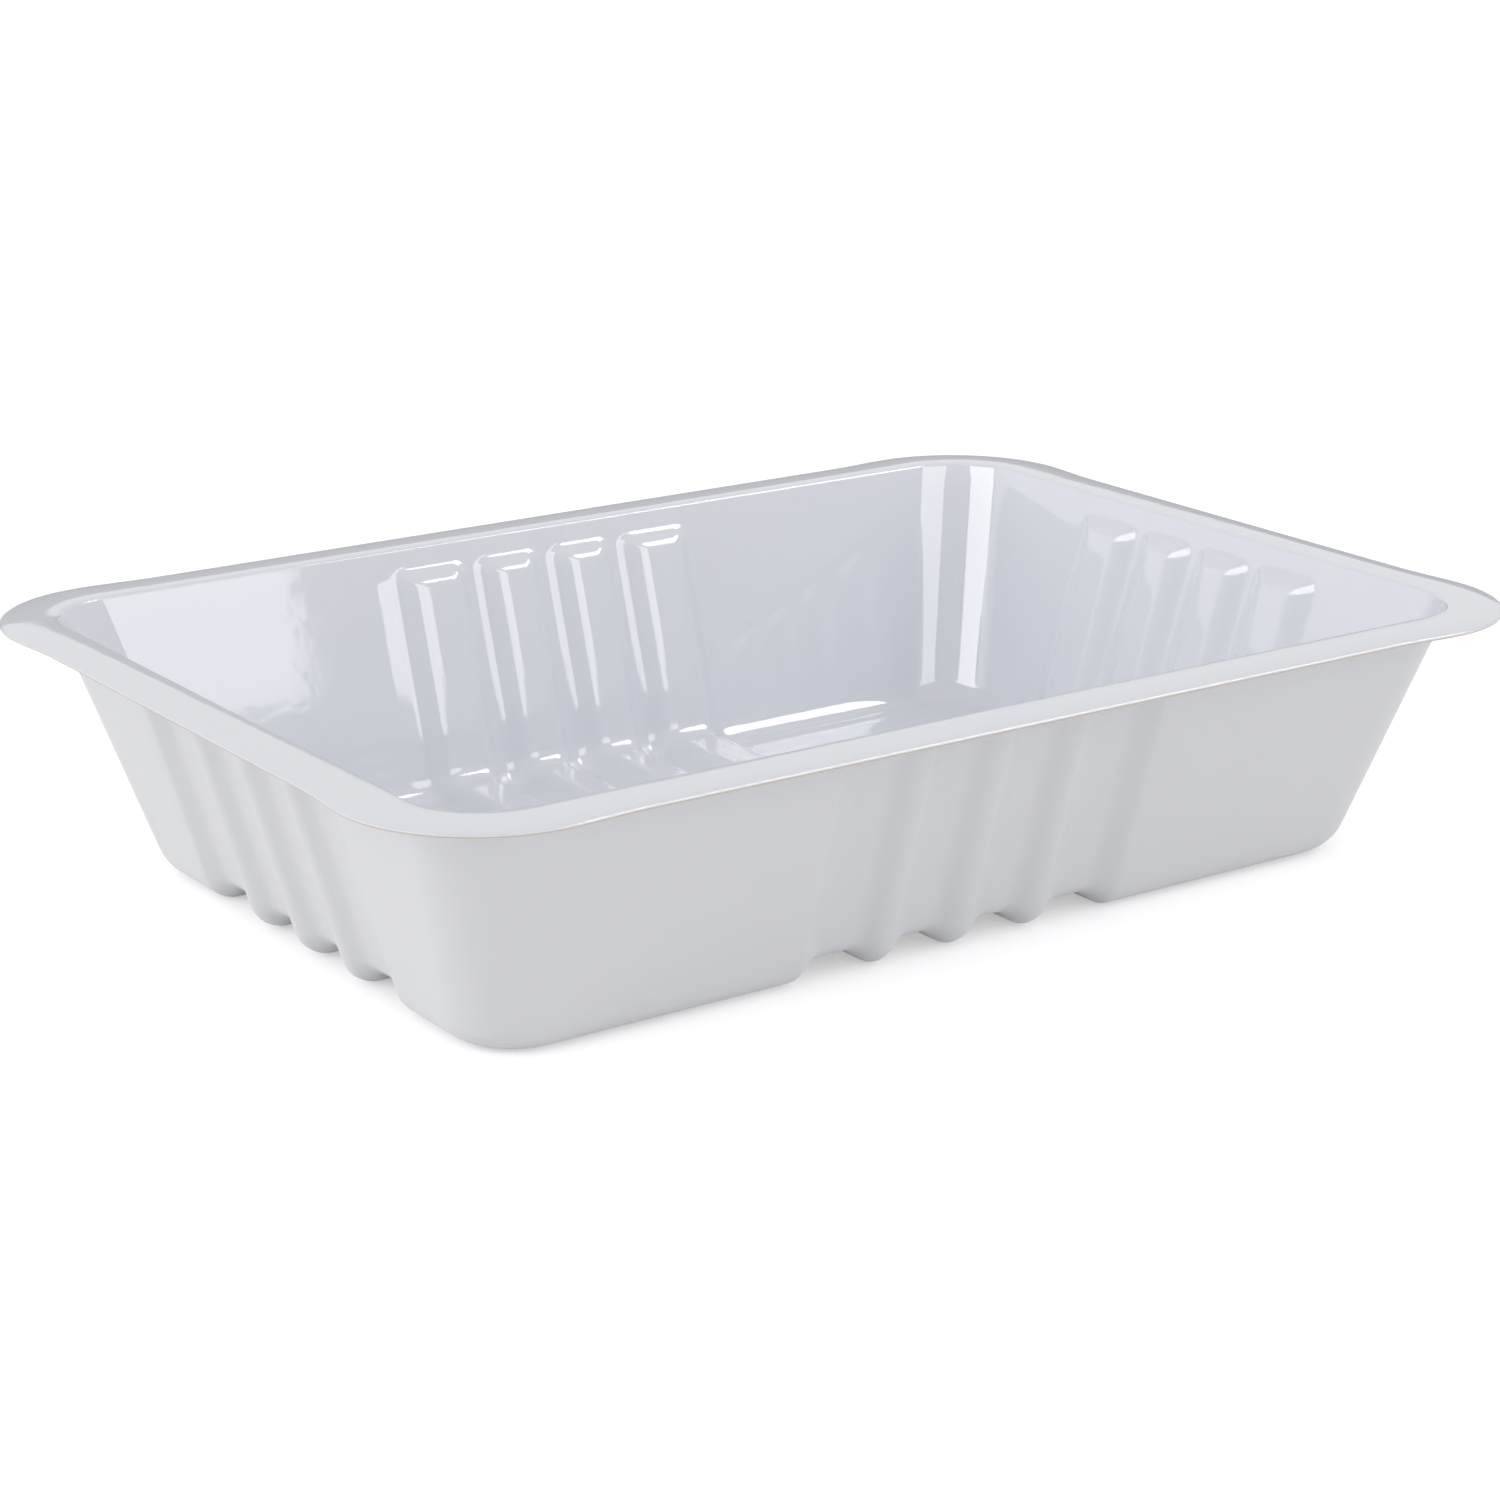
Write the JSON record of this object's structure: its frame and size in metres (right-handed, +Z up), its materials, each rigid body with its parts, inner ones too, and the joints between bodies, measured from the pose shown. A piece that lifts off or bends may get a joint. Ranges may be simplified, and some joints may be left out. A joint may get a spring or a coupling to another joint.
{
  "type": "food tray",
  "caption": "Shallow rectangular plastic food tray with a flat rim, leaning walls and ribs that run down the walls and across the floor.",
  "frame": {"origin": "centre of the tray's outline, on the plane that the floor's underside stands on", "axes": "+X along the tray's length, +Y along its width, +Z up"},
  "size_m": [0.2268, 0.1628, 0.0454],
  "materials": {
    "sheet": "white translucent sheet, glossy inside and satin outside"
  },
  "bodies": {
    "root": {"tray": "sheet"}
  },
  "joints": []
}
